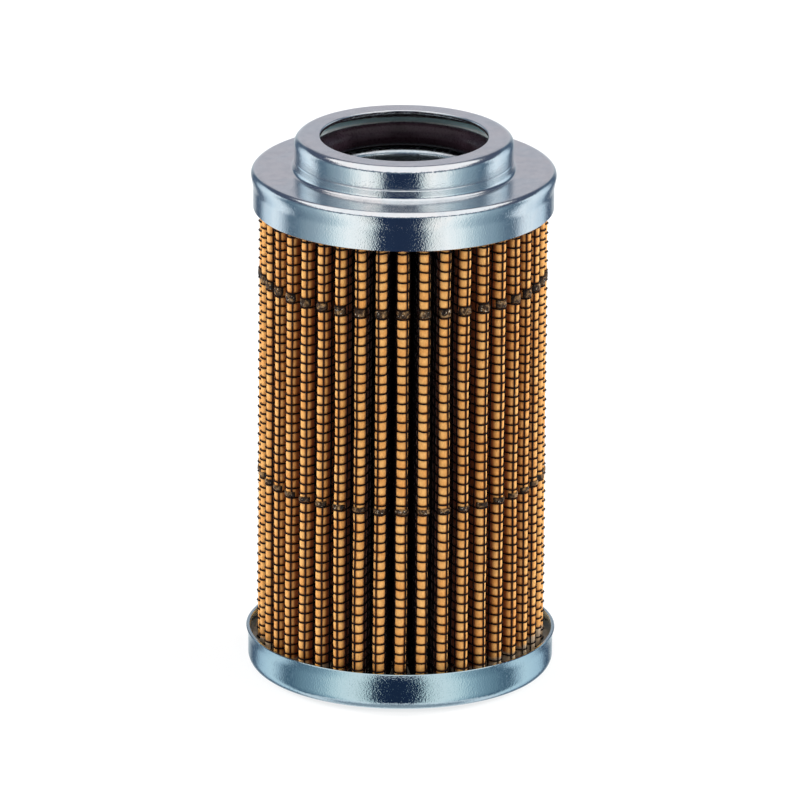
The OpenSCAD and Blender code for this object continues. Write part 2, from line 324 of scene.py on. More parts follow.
def wireMaterial():
    # black epoxy, thick and thin, with bare grey specks
    look = {"epoxy": (0.005, 0.003, 0.003), "speck": (0.09, 0.08, 0.08)}
    material, tree, shader, place = newMaterial("coatedWire", look["epoxy"], 0.5, 0.0, {
        "Coat Roughness": 0.2, "Specular IOR Level": 0.14})
    lumps = noise(tree, place, 1800.0, 3.0, 0.6)
    specks = smooth(tree, noise(tree, place, 2600.0, 2.0), 0.7, 0.78)
    colour = mixColour(tree, specks, look["epoxy"], look["speck"])
    paint(tree, shader, colour, smooth(tree, lumps, 0.3, 0.7, 0.35, 0.6))
    tree.links.new(smooth(tree, lumps, 0.55, 0.75, 0.0, 0.25), shader.inputs["Coat Weight"])
    bump(tree, shader, lumps, 0.6, 0.05 * mm)
    return material


def glueMaterial():
    # smoky glue with trapped air and paper dust, darkest inwards from the crests, between them
    look = {"smoke": [(0.38, (0.008, 0.005, 0.004)), (0.49, (0.04, 0.021, 0.010)),
                      (0.62, (0.22, 0.125, 0.05)), (0.78, (0.42, 0.27, 0.12))],
            "fleck": (0.5, 0.43, 0.34), "thick": (0.008, 0.005, 0.004), "inwardDarkZone": (22.15, 21.6)}
    material, tree, shader, place = newMaterial("smokyGlue", (0.12, 0.09, 0.06), 0.2, 0.0, {
        "Coat Weight": 0.06, "Coat Roughness": 0.08, "Specular IOR Level": 0.18})
    swirls = noise(tree, place, 900.0, 4.0, 0.65, 1.2)
    flecks = smooth(tree, noise(tree, place, 3400.0, 2.0, 0.6), 0.63, 0.7)
    colour = mixColour(tree, flecks, ramp(tree, swirls, look["smoke"]), look["fleck"])
    # darker inwards from the crests, towards the gaps between them
    colour = mixColour(tree, fade(tree, fromAxis(tree, place), look["inwardDarkZone"]), colour, look["thick"])
    paint(tree, shader, colour, smooth(tree, swirls, 0.3, 0.7, 0.12, 0.4))
    bump(tree, shader, swirls, 0.7, 0.2 * mm)
    return material


def dusted(tree, place, look, colour):
    values = {"Vector": place, "Patch Scale": look["dustScale"], "Amount": look["dustAmount"]}
    return mixColour(tree, useGroup(tree, dustFall, values)["Mask"], colour, look["dust"])


def pottingMaterial():
    look = {"cast": [(0.3, (0.16, 0.13, 0.10)), (0.52, (0.42, 0.37, 0.30)), (0.75, (0.62, 0.58, 0.51))],
            "dust": (0.6, 0.57, 0.52), "dustScale": 700.0, "dustAmount": 0.35}
    material, tree, shader, place = newMaterial("castAdhesive", (0.42, 0.38, 0.3), 0.55)
    patches = noise(tree, place, 330.0, 5.0, 0.65, 0.5)
    colour = dusted(tree, place, look, ramp(tree, patches, look["cast"]))
    paint(tree, shader, colour, smooth(tree, patches, 0.3, 0.7, 0.35, 0.7))
    bump(tree, shader, patches, 0.6, 0.3 * mm)
    return material


def rubberMaterial():
    look = {"dark": (0.009, 0.005, 0.007), "pale": (0.016, 0.009, 0.013), "dust": (0.05, 0.04, 0.045),
            "dustScale": 900.0, "dustAmount": 0.16}
    material, tree, shader, place = newMaterial("sealRubber", (0.010, 0.006, 0.008), 0.3, 0.0, {
        "Specular IOR Level": 0.16})
    skin = noise(tree, place, 2400.0, 3.0, 0.6)
    cast = smooth(tree, noise(tree, place, 180.0, 2.0), 0.35, 0.65)
    colour = dusted(tree, place, look, mixColour(tree, cast, look["dark"], look["pale"]))
    paint(tree, shader, colour, smooth(tree, skin, 0.3, 0.7, 0.24, 0.36))
    bump(tree, shader, skin, 0.35, 0.04 * mm)
    return material


def innerWireMaterial():
    # a fine woven screen, drawn as crossing threads round the axis and along it
    weave = {"thread": 0.5 * mm, "colour": (0.42, 0.43, 0.42), "gap": (0.02, 0.018, 0.015)}
    material, tree, shader, place = newMaterial("innerWire", weave["colour"], 0.4, 0.8)
    runs = split(tree, place)["Z"], fromAxis(tree, place)
    waves = [maths(tree, "SINE", times(tree, run, math.pi / weave["thread"])) for run in runs]
    rows, columns = (maths(tree, "ABSOLUTE", wave) for wave in waves)
    threads = smooth(tree, maths(tree, "MAXIMUM", rows, columns), 0.55, 0.85)
    colour = mixColour(tree, threads, weave["gap"], weave["colour"])
    paint(tree, shader, colour, smooth(tree, threads, 0.0, 1.0, 0.7, 0.35))
    bump(tree, shader, threads, 0.6, 0.1 * mm)
    return material


filterPaper = paperMaterial(paper)
coatedWire = wireMaterial()
smokyGlue = glueMaterial()
pottingStuff = pottingMaterial()
sealRubber = rubberMaterial()
innerWire = innerWireMaterial()
print("materials are ready")


def newObject(name, data):
    item = bpy.data.objects.new(name, data)
    scene.collection.objects.link(item)
    return item


def bendPoints(centre, radius, fromAngle, toAngle, steps=10):
    angles = np.radians(np.linspace(fromAngle, toAngle, steps + 1))
    return [(centre[0] + radius * math.cos(a), centre[1] + radius * math.sin(a)) for a in angles]


def finishMesh(piece, smoothAngle=35.0, closest=0.0005 * mm):
    # merge doubles, point the faces outwards and smooth all but sharp edges
    shape = bmesh.new()
    shape.from_mesh(piece.data)
    bmesh.ops.remove_doubles(shape, verts=shape.verts, dist=closest)
    bmesh.ops.recalc_face_normals(shape, faces=shape.faces)
    if shape.calc_volume(signed=True) < 0:
        bmesh.ops.reverse_faces(shape, faces=shape.faces)
    for edge in shape.edges:
        edge.smooth = len(edge.link_faces) != 2 or edge.calc_face_angle(0) < math.radians(smoothAngle)
    for face in shape.faces:
        face.smooth = True
    shape.to_mesh(piece.data)
    shape.free()


def turnedPiece(name, outline, material, segments):
    # a closed outline in millimetres of (radius, height), turned round the axis
    outline = [p for i, p in enumerate(outline) if math.dist(p, outline[i - 1]) > 1e-4]
    count = len(outline)
    places, faces = [], []
    for angle in np.arange(segments) * math.tau / segments:
        places += [(r * math.cos(angle) * mm, r * math.sin(angle) * mm, height * mm) for r, height in outline]
    for s in range(segments):
        here, there = s * count, (s + 1) % segments * count
        for i in range(count):
            j = (i + 1) % count
            faces.append((here + i, there + i, there + j, here + j))
    mesh = bpy.data.meshes.new(name)
    mesh.from_pydata(places, [], faces)
    mesh.materials.append(material)
    piece = newObject(name, mesh)
    finishMesh(piece)
    return piece


def hang(piece, slot, *nodes):
    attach(piece, "root")
    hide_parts(*nodes)


# the swell says how far the skirt grows towards its shoulder: (bends below the flange, millimetres out)
capLow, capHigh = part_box("upper_cap")
upper = {"top": capHigh.z / mm, "edge": capLow.z / mm, "shoulderR": capHigh.x / mm, "sheet": 0.6,
         "bend": 1.0, "draw": 0.35, "flange": 80.8, "collarR": 16.9, "lipBend": 1.3, "mouthR": 12.95,
         "footR": 0.7, "creaseIn": 0.08, "creaseZ": 1.6, "edgeRound": 0.15, "mouthRound": 0.2,
         "swell": ((3.1, 0.0), (2.9, 0.0), (2.5, 0.07), (1.8, 0.2)), "nearBend": 0.15, "segments": 224}


def upperCapOutline(u):
    top, edge, flange, sheet, near = (u[key] for key in ("top", "edge", "flange", "sheet", "nearBend"))
    collar, skirt = u["collarR"], u["shoulderR"] - u["draw"]
    inner = collar - sheet
    shoulder = (u["shoulderR"] - u["bend"], flange - u["bend"])
    foot = (collar + u["footR"], flange + u["footR"])
    lip = (collar - u["lipBend"], top - u["lipBend"])
    mouth = (u["mouthR"] + u["mouthRound"], top - u["mouthRound"])
    crease, rise = flange + u["creaseZ"], 1.5 * u["creaseIn"]
    outside = [(skirt, edge + u["edgeRound"]), (skirt, edge + u["edgeRound"] + near)]
    outside += [(skirt + out, flange - down * u["bend"]) for down, out in u["swell"]]
    outside += bendPoints(shoulder, u["bend"], 0, 90)
    outside += [(shoulder[0] - near, flange), (foot[0] + near, flange)]
    outside += bendPoints(foot, u["footR"], 270, 180, 12)
    outside += [(collar, crease - rise - near / 2)]
    for k in range(-4, 5):
        dip = u["creaseIn"] * (1 + math.cos(math.pi * k / 4)) / 2
        outside.append((collar - dip, crease + rise * k / 4))
    outside += [(collar, crease + rise + near), (collar, lip[1] - near)]
    outside += bendPoints(lip, u["lipBend"], 0, 90)
    outside += [(lip[0] - near, top), (mouth[0] + near, top)]
    outside += bendPoints(mouth, u["mouthRound"], 90, 180, 4)
    inside = [(u["mouthR"], top - sheet)] + bendPoints(lip, u["lipBend"] - sheet, 90, 0)
    inside += [(inner, crease + rise), (inner - u["creaseIn"], crease), (inner, crease - rise)]
    inside += bendPoints(foot, u["footR"] + sheet, 180, 270) + bendPoints(shoulder, u["bend"] - sheet, 90, 0)
    inside += [(skirt - sheet, flange - u["swell"][2][0] * u["bend"]), (skirt - sheet, edge + u["edgeRound"]),
               (skirt - sheet + u["edgeRound"], edge), (skirt - u["edgeRound"], edge)]
    return outside + inside


cap = turnedPiece("upperCap", upperCapOutline(upper), zincSheet, upper["segments"])
hang(cap, "zinc_sheet", "upper_cap")

seal = {"middleR": 13.4, "middleZ": 82.1, "section": 3.8, "flash": 0.05, "flashWidth": 0.12,
        "points": 72, "segments": 192}


def sealOutline(s):
    # a round section with the thin moulding line inside and outside
    points = []
    for k in range(s["points"]):
        angle = math.tau * k / s["points"]
        off = min(angle % math.pi, math.pi - angle % math.pi) * s["section"] / 2
        reach = s["section"] / 2 - s["flash"] + s["flash"] * math.exp(-(off / s["flashWidth"]) ** 2)
        points.append((s["middleR"] + reach * math.cos(angle), s["middleZ"] + reach * math.sin(angle)))
    return points


ring = turnedPiece("sealRing", sealOutline(seal), sealRubber, seal["segments"])
hang(ring, "seal_rubber", "seal_ring")

seat = {"sleeveR": 11.7, "sheet": 0.6, "shelfR": 19.3, "top": 80.2, "bottom": 74.6, "segments": 192}


def seatOutline(s):
    bend = 2 * s["sheet"]
    middle = (s["sleeveR"] + bend, s["top"] - bend)
    return ([(s["sleeveR"] + s["sheet"], s["bottom"]), (s["sleeveR"], s["bottom"])]
            + bendPoints(middle, bend, 180, 90)
            + [(s["shelfR"], s["top"]), (s["shelfR"], s["top"] - s["sheet"])]
            + bendPoints(middle, bend - s["sheet"], 90, 180))


shelf = turnedPiece("sealSeat", seatOutline(seat), seatSteel, seat["segments"])
hang(shelf, "seat_sheet", "seal_seat")
print("upper cap, seal and seat are turned")

cup = {"wallR": 23.6, "sheet": 0.6, "base": 0.4, "bend": 2.0, "rim": 6.6, "flare": 0.3, "flareH": 1.1,
       "rimRound": 0.12, "padCount": 5, "padR": 3.2, "padPlace": 17.6, "padTurn": 16.0, "padRise": 0.4,
       "padSlope": 0.35, "flatR": 21.4, "segments": 288}


def padDrop(x, y, c):
    # how far a pressed pad reaches below the base at a place, in millimetres
    drop = 0.0
    for i in range(c["padCount"]):
        angle = math.radians(-90 - c["padTurn"] + 360 / c["padCount"] * i)
        away = math.hypot(x - c["padPlace"] * math.cos(angle), y - c["padPlace"] * math.sin(angle))
        share = min(max((c["padR"] - away) / (c["padR"] * c["padSlope"]), 0.0), 1.0)
        drop = max(drop, c["padRise"] * share * share * (3 - 2 * share))
    return drop


def lowerCup(c):
    wall, flare, rim, base, top = c["wallR"], c["flare"], c["rim"], c["base"], c["base"] + c["sheet"]
    inR = wall - c["sheet"]
    middle = (wall - c["bend"], base + c["bend"])
    # the rings lie close where the pads are pressed
    rings = [0.02, 4, 8, 12, 14.0] + list(np.arange(14.4, 21.01, 0.35)) + [21.3]
    outside = [(r, base) for r in rings] + bendPoints(middle, c["bend"], 272, 360, 14)
    outside += [(wall, middle[1] + 0.15), (wall, rim - 1.6 * c["flareH"])]
    outside += [(wall + flare * share ** 1.5, rim - 1.5 * c["flareH"] * (1 - share) - 0.1 * share)
                for share in (0.15, 0.3, 0.5, 0.75, 1.0)]
    outside += [(wall + flare - 0.1, rim)]
    inside = [(inR + flare + c["rimRound"], rim), (inR + flare, rim - c["rimRound"]),
              (inR + flare * 0.6, rim - c["flareH"] * 0.4), (inR, rim - c["flareH"])]
    inside += bendPoints(middle, c["bend"] - c["sheet"], 360, 270, 8) + [(r, top) for r in reversed(rings)]
    piece = turnedPiece("lowerCup", outside + inside, zincSheet, c["segments"])
    for vertex in piece.data.vertices:
        x, y, z = vertex.co / mm
        if z < top + 0.01 and math.hypot(x, y) < c["flatR"]:
            vertex.co.z -= padDrop(x, y, c) * mm
    piece.data.update()
    return piece


hang(lowerCup(cup), "zinc_sheet", "lower_cup")
print("lower cup is pressed")

fold = {"pleats": 41, "crestMid": 21.28, "crestR": 0.55, "rootMid": 14.3, "rootR": 0.6, "paper": 0.5,
        "sway": 0.34, "breathe": 0.12, "lift": 0.35, "bulge": 0.07, "rightPleats": 21}
wires = {"pitch": 1.5, "thick": 0.235, "first": 4.85, "rows": 48, "rowsACell": 4, "off": 0.16, "longIn": 0.07,
         "knotIn": 0.03, "longHeight": 76.5, "driftAPleat": -0.085, "wander": 0.35, "start": 0.3}
glue = {"thick": 0.24, "width": {"upper": 1.2, "lower": 0.8}, "drop": {"upper": -0.03, "lower": 0.17},
        "lumps": 0.3, "reach": 1.55}


def foldSection(f, crestSteps, legSteps, rootSteps):
    # one pleat seen from above, crest towards +X: points, the way out of the sheet, and the run along it
    def towards(angle):
        return np.array([math.cos(angle), math.sin(angle)])

    halfTurn = math.pi / f["pleats"]
    crest, root = np.array([f["crestMid"], 0.0]), f["rootMid"] * towards(halfTurn)
    leg = root - crest
    lean = math.atan2(leg[1], leg[0]) - math.acos((f["crestR"] + f["rootR"]) / np.hypot(*leg))
    ways = [towards(t) for t in np.linspace(0, lean, crestSteps + 1)]
    points = [crest + f["crestR"] * way for way in ways]
    start, end = points[-1], root - f["rootR"] * towards(lean)
    for k in range(1, legSteps):
        points.append(start + (end - start) * (k / legSteps) ** 1.4)
        ways.append(towards(lean))
    for t in np.linspace(lean, halfTurn, rootSteps + 1):
        points.append(root - f["rootR"] * towards(t))
        ways.append(towards(t))
    runs = [0.0]
    for a, b in zip(points, points[1:]):
        runs.append(runs[-1] + float(np.hypot(*(b - a))))
    flip = np.array([1, -1])
    half = list(zip(points, ways, runs))
    return [(p * flip, w * flip, -r) for p, w, r in half[:0:-1]] + half


def sectionMesh(name, rows):
    mesh = bpy.data.meshes.new(name)
    places = [(p[0] * mm, p[1] * mm, 0) for p, w, r in rows]
    mesh.from_pydata(places, [(i, i + 1) for i in range(len(rows) - 1)], [])
    mesh.attributes.new("wayOut", "FLOAT_VECTOR", "POINT")
    mesh.attributes.new("run", "FLOAT", "POINT")
    for i, (p, w, r) in enumerate(rows):
        mesh.attributes["wayOut"].data[i].vector = (w[0], w[1], 0)
        mesh.attributes["run"].data[i].value = r * mm
    return mesh


def makeSettle():
    # the small sway of the crests, shared by paper, wires and glue
    share = {"slow": 2.4, "fast": 0.5, "inward": 0.25, "stretch": 0.22}
    tree, given, leave = newTree("settle", "GeometryNodeTree", {
        "Position": "Vector", "Sway": fold["sway"] * mm, "Breathe": fold["breathe"] * mm}, {"Offset": "Vector"})
    place = given["Position"]
    flat = vectors(tree, "MULTIPLY", place, (1, 1, 0))
    out = vectors(tree, "NORMALIZE", flat)
    across = vectors(tree, "CROSS_PRODUCT", (0, 0, 1), out)
    stretched = vectors(tree, "MULTIPLY", place, (1, 1, share["stretch"]))
    slow, fast = (split(tree, vectors(tree, "SUBTRACT", field, (0.5, 0.5, 0.5))) for field in (
        noise(tree, stretched, 110.0, 2.0, output="Color"), noise(tree, place, 420.0, 1.0, output="Color")))
    hold = smooth(tree, vectors(tree, "LENGTH", flat), 15.5 * mm, 21.0 * mm)
    side = plus(tree, times(tree, slow["X"], share["slow"]), times(tree, fast["X"], share["fast"]))
    side = times(tree, side, given["Sway"], hold)
    reach = times(tree, minus(tree, slow["Y"], share["inward"]), given["Breathe"], hold)
    lift = times(tree, plus(tree, slow["Z"], fast["Z"]), fold["lift"] * mm)
    offset = vectors(tree, "ADD", scaled(tree, across, side), scaled(tree, out, reach))
    return giveOut(tree, leave, {"Offset": vectors(tree, "ADD", offset, raised(tree, lift))})


def makeWirePhase():
    # where the first long wire lies beside the middle of a crest: it drifts from pleat to pleat
    tree, given, leave = newTree("wirePhase", "GeometryNodeTree", {
        "Pleat": 0.0, "Pitch": wires["pitch"] * mm}, {"Run": "Float"})
    wander = made(tree, "ShaderNodeTexNoise", {"W": given["Pleat"], "Scale": 0.37, "Detail": 1.0},
                  noise_dimensions="1D")
    drift = plus(tree, times(tree, given["Pleat"], wires["driftAPleat"]),
                 times(tree, minus(tree, wander, 0.5), wires["wander"]), wires["start"])
    return giveOut(tree, leave, {"Run": times(tree, maths(tree, "WRAP", drift, 0.5, -0.5), given["Pitch"])})


settle = makeSettle()
wirePhase = makeWirePhase()


def countOff(tree, index, perGroup):
    # the group that a counted point is in, and its number in that group
    group = maths(tree, "FLOOR", over(tree, plus(tree, index, 0.25), perGroup))
    return group, maths(tree, "ROUND", minus(tree, index, times(tree, group, perGroup)))


def turnToPleat(tree, vector, angle):
    return made(tree, "ShaderNodeVectorRotate", {"Vector": vector, "Angle": angle}, rotation_type="Z_AXIS")


def pleatAngle(tree, pleat, pleats):
    # pleats are counted from the front
    return minus(tree, times(tree, over(tree, pleat, pleats), math.tau), math.pi / 2)


def stepsOf(tree, section):
    size = put(tree, "GeometryNodeAttributeDomainSize", {"Geometry": section}, component="MESH")
    return minus(tree, size.outputs["Point Count"], 1.0)


def stored(tree, label, kind):
    return put(tree, "GeometryNodeInputNamedAttribute", {"Name": label}, data_type=kind).outputs["Attribute"]


def makeFoldPlace():
    # the place of a numbered point on the fold round the axis, lifted off the middle of the sheet
    tree, given, leave = newTree("foldPlace", "GeometryNodeTree", {
        "Section": "Geometry", "Step": 0.0, "Pleats": fold["pleats"], "Lift": 0.0},
        {"Position": "Vector", "Way Out": "Vector", "Run": "Float", "Pleat": "Float"})
    pleat, local = countOff(tree, given["Step"], stepsOf(tree, given["Section"]))
    angle = pleatAngle(tree, pleat, given["Pleats"])
    place, way, run = (put(tree, "GeometryNodeSampleIndex", {
        "Geometry": given["Section"], "Value": source, "Index": local}, data_type=kind).outputs["Value"]
        for source, kind in ((geo(tree, "InputPosition"), "FLOAT_VECTOR"),
                             (stored(tree, "wayOut", "FLOAT_VECTOR"), "FLOAT_VECTOR"),
                             (stored(tree, "run", "FLOAT"), "FLOAT")))
    place, way = turnToPleat(tree, place, angle), turnToPleat(tree, way, angle)
    lifted = vectors(tree, "ADD", place, scaled(tree, way, given["Lift"]))
    return giveOut(tree, leave, {"Position": lifted, "Way Out": way, "Run": run, "Pleat": pleat})


foldPlace = makeFoldPlace()


def onFold(tree, given, step, lift):
    return useGroup(tree, foldPlace, {
        "Section": given["Geometry"], "Step": step, "Pleats": given["Pleats"], "Lift": lift})


def newPackTree(name, inputs):
    # a tree that makes a finished mesh from a section of the fold
    return newTree(name, "GeometryNodeTree", {
        "Geometry": "Geometry", "Pleats": fold["pleats"], **inputs, "Material": "Material"},
        {"Geometry": "Geometry"})


def finishPack(tree, given, leave, geometry):
    soft = geo(tree, "SetShadeSmooth", {0: geometry})
    real = geo(tree, "RealizeInstances", {"Geometry": soft})
    done = geo(tree, "SetMaterial", {"Geometry": real, "Material": given["Material"]})
    return giveOut(tree, leave, {"Geometry": done})


def moved(tree, geometry, values):
    return geo(tree, "SetPosition", {"Geometry": geometry, **values})


def settleAt(tree, place):
    return useGroup(tree, settle, {"Position": place})["Offset"]


def pointColumn(tree, count, first=0.0, step=0.0):
    # points one above the other
    return geo(tree, "MeshLine", {
        "Count": count, "Start Location": raised(tree, first), "Offset": raised(tree, step)})


def copied(tree, points, piece, values=None):
    stack = geo(tree, "InstanceOnPoints", {"Points": points, "Instance": piece, **(values or {})})
    return geo(tree, "RealizeInstances", {"Geometry": stack})


def tubeAlong(tree, given, curve, caps):
    # a wire of round section along a curve, which settles with the crests
    curve = moved(tree, curve, {"Offset": settleAt(tree, geo(tree, "InputPosition"))})
    section = geo(tree, "CurvePrimitiveCircle", {
        "Resolution": given["Sides"], "Radius": times(tree, given["Diameter"], 0.5)})
    return geo(tree, "CurveToMesh", {"Curve": curve, "Profile Curve": section, "Fill Caps": caps})


def makePaperTree():
    # a grid whose columns follow the fold and whose last rows go back down inside the sheet
    tree, given, leave = newPackTree("pleatedPaper", {
        "First Pleat": 0, "Pleat Span": fold["pleats"], "Thickness": fold["paper"] * mm, "Low": 0.0,
        "Row Step": 0.1, "Rows": 10, "First Wire": wires["first"] * mm, "Wire Pitch": wires["pitch"] * mm,
        "Bulge": fold["bulge"] * mm})
    perPleat = stepsOf(tree, given["Geometry"])
    columns = plus(tree, times(tree, perPleat, given["Pleat Span"]), 1.0)
    allRows = plus(tree, given["Rows"], 3.0)
    marked = geo(tree, "MeshGrid", {"Vertices X": columns, "Vertices Y": allRows})
    column, row = countOff(tree, geo(tree, "InputIndex"), allRows)
    step = plus(tree, column, times(tree, perPleat, given["First Pleat"]))
    beyond = plus(tree, given["Rows"], 0.5)
    inner = maths(tree, "COMPARE", row, beyond, 0.6)
    goneDown = maths(tree, "GREATER_THAN", row, beyond)
    level = maths(tree, "MINIMUM", row, minus(tree, given["Rows"], 1.0))
    level = times(tree, level, minus(tree, 1.0, goneDown))
    z = plus(tree, given["Low"], times(tree, level, given["Row Step"]))
    lift = times(tree, given["Thickness"], 0.5, minus(tree, 1.0, times(tree, inner, 2.0)))
    flat = onFold(tree, given, step, 0.0)
    phase = useGroup(tree, wirePhase, {"Pleat": flat["Pleat"], "Pitch": given["Wire Pitch"]})["Run"]
    cellRow = over(tree, minus(tree, z, given["First Wire"]), given["Wire Pitch"])
    cellRun = over(tree, minus(tree, flat["Run"], phase), given["Wire Pitch"])
    # between the wires the sheet swells a little, most on the crests
    waves = [maths(tree, "SINE", times(tree, cell, math.pi)) for cell in (cellRow, cellRun)]
    swell = times(tree, *(maths(tree, "ABSOLUTE", wave) for wave in waves))
    onCrest = smooth(tree, maths(tree, "ABSOLUTE", flat["Run"]), 1.9 * mm, 1.0 * mm, 0.15, 1.0)
    swell = times(tree, maths(tree, "POWER", swell, 0.7), given["Bulge"], minus(tree, 1.0, inner), onCrest)
    place = vectors(tree, "ADD", flat["Position"], scaled(tree, flat["Way Out"], plus(tree, lift, swell)))
    place = vectors(tree, "ADD", place, raised(tree, z))
    for label, value in (("cellRow", cellRow), ("cellRun", cellRun)):
        marked = geo(tree, "StoreNamedAttribute", {"Geometry": marked, "Name": label, "Value": value},
                     data_type="FLOAT", domain="POINT")
    sheet = moved(tree, marked, {"Position": place, "Offset": settleAt(tree, place)})
    sheet = geo(tree, "MergeByDistance", {"Geometry": sheet, "Distance": 0.001 * mm})
    return finishPack(tree, given, leave, sheet)


def makeCrossWireTree():
    # closed wires that follow the whole fold, one above the other
    tree, given, leave = newPackTree("crossWires", {
        "Lift": 0.4 * mm, "First Height": 0.0, "Pitch": wires["pitch"] * mm, "Wires": 24,
        "Diameter": wires["thick"] * mm, "Sides": 5})
    line = pointColumn(tree, times(tree, stepsOf(tree, given["Geometry"]), given["Pleats"]))
    flat = onFold(tree, given, geo(tree, "InputIndex"), given["Lift"])
    folded = moved(tree, line, {"Position": flat["Position"]})
    curve = geo(tree, "MeshToCurve", {0: folded})
    ring = geo(tree, "SetSplineCyclic", {0: curve, "Cyclic": True})
    levels = pointColumn(tree, given["Wires"], given["First Height"], given["Pitch"])
    return finishPack(tree, given, leave, tubeAlong(tree, given, copied(tree, levels, ring), False))


def sheetPoint(tree, given, index, perPleat):
    # the place on the sheet of the wire with this number: pleat by pleat, counted from the crest's middle
    pleat, local = countOff(tree, index, perPleat)
    fromCrest = minus(tree, local, times(tree, minus(tree, perPleat, 1.0), 0.5))
    phase = useGroup(tree, wirePhase, {"Pleat": pleat, "Pitch": given["Pitch"]})["Run"]
    run = plus(tree, phase, times(tree, fromCrest, given["Pitch"]))
    curve = geo(tree, "MeshToCurve", {0: given["Geometry"]})
    along = plus(tree, run, times(tree, geo(tree, "CurveLength", {0: curve}), 0.5))
    found = put(tree, "GeometryNodeSampleCurve", {
        "Curves": curve, "Value": stored(tree, "wayOut", "FLOAT_VECTOR"), "Length": along},
        mode="LENGTH", data_type="FLOAT_VECTOR", use_all_curves=True).outputs
    out = vectors(tree, "NORMALIZE", found["Value"])
    place = vectors(tree, "ADD", found["Position"], scaled(tree, out, given["Lift"]))
    return turnToPleat(tree, place, pleatAngle(tree, pleat, given["Pleats"]))


def makeLongWireTree():
    # upright wires that stand on the sheet, some to each pleat
    tree, given, leave = newPackTree("longWires", {
        "Lift": 0.4 * mm, "Pitch": wires["pitch"] * mm, "Wires A Pleat": 11, "Low": 0.0, "High": 0.08,
        "Steps": 26, "Diameter": wires["thick"] * mm, "Sides": 5})
    feet = pointColumn(tree, times(tree, given["Wires A Pleat"], given["Pleats"]))
    place = sheetPoint(tree, given, geo(tree, "InputIndex"), given["Wires A Pleat"])
    feet = moved(tree, feet, {"Position": place})
    gap = over(tree, minus(tree, given["High"], given["Low"]), minus(tree, given["Steps"], 1.0))
    rod = geo(tree, "MeshToCurve", {0: pointColumn(tree, given["Steps"], given["Low"], gap)})
    return finishPack(tree, given, leave, tubeAlong(tree, given, copied(tree, feet, rod), True))


def makeKnotTree():
    # drops of coating where the wires cross, on the crests only
    tree, given, leave = newPackTree("wireKnots", {
        "Lift": 0.4 * mm, "Pitch": wires["pitch"] * mm, "Knots A Crest": 3, "First Height": wires["first"] * mm,
        "Rows": wires["rows"], "Radius": 0.17 * mm, "Smallest": 0.75, "Largest": 1.15, "Seed": 5})
    perRow = times(tree, given["Knots A Crest"], given["Pleats"])
    points = pointColumn(tree, times(tree, perRow, given["Rows"]))
    row, inRow = countOff(tree, geo(tree, "InputIndex"), perRow)
    place = sheetPoint(tree, given, inRow, given["Knots A Crest"])
    height = plus(tree, given["First Height"], times(tree, row, given["Pitch"]))
    place = vectors(tree, "ADD", place, raised(tree, height))
    points = moved(tree, points, {"Position": place, "Offset": settleAt(tree, place)})
    ball = geo(tree, "MeshIcoSphere", {"Radius": given["Radius"], "Subdivisions": 1})
    size = put(tree, "FunctionNodeRandomValue", {
        2: given["Smallest"], 3: given["Largest"], "Seed": given["Seed"]}, data_type="FLOAT").outputs[1]
    return finishPack(tree, given, leave, copied(tree, points, ball, {"Scale": size}))


def makeGlueTree():
    # one drop of glue on each crest, drawn out round it
    tree, given, leave = newPackTree("glueBeads", {
        "Height": 0.06, "Lift": 0.4 * mm, "Thickness": glue["thick"] * mm, "Width": glue["width"]["upper"] * mm,
        "Lumps": glue["lumps"] * mm})
    curve = geo(tree, "MeshToCurve", {0: given["Geometry"]})
    way = stored(tree, "wayOut", "FLOAT_VECTOR")
    lifted = moved(tree, curve, {"Offset": scaled(tree, way, given["Lift"])})
    crests = pointColumn(tree, given["Pleats"], given["Height"])
    angle = pleatAngle(tree, geo(tree, "InputIndex"), given["Pleats"])
    drops = copied(tree, crests, lifted, {"Rotation": raised(tree, angle)})
    section = geo(tree, "CurvePrimitiveCircle", {"Resolution": 12, "Radius": 0.5})
    size = made(tree, "ShaderNodeCombineXYZ", {"X": given["Thickness"], "Y": given["Width"], "Z": 1.0})
    section = geo(tree, "Transform", {0: section, "Scale": size})
    tube = geo(tree, "CurveToMesh", {"Curve": drops, "Profile Curve": section, "Fill Caps": True})
    place = geo(tree, "InputPosition")
    push = times(tree, minus(tree, noise(tree, place, 800.0, 3.0, 0.6), 0.52), given["Lumps"])
    offset = vectors(tree, "ADD", settleAt(tree, place), scaled(tree, geo(tree, "InputNormal"), push))
    return finishPack(tree, given, leave, moved(tree, tube, {"Offset": offset}))


def grow(name, tree, source, values):
    # runs a tree on a mesh and keeps the result as a plain mesh
    piece = newObject(name, source)
    modifier = piece.modifiers.new("grow", "NODES")
    modifier.node_group = tree
    for item in tree.interface.items_tree:
        if item.item_type == "SOCKET" and item.in_out == "INPUT" and item.name in values:
            modifier[item.identifier] = values[item.name]
    scene.view_layers[0].update()
    dependencies = bpy.context.evaluated_depsgraph_get()
    mesh = bpy.data.meshes.new_from_object(
        piece.evaluated_get(dependencies), preserve_all_data_layers=True, depsgraph=dependencies)
    mesh.name = name
    piece.modifiers.remove(modifier)
    piece.data = mesh
    mesh.materials.clear()
    mesh.materials.append(values["Material"])
    mesh.polygons.foreach_set("material_index", [0] * len(mesh.polygons))
    print(name, len(mesh.polygons), "faces")
    return piece


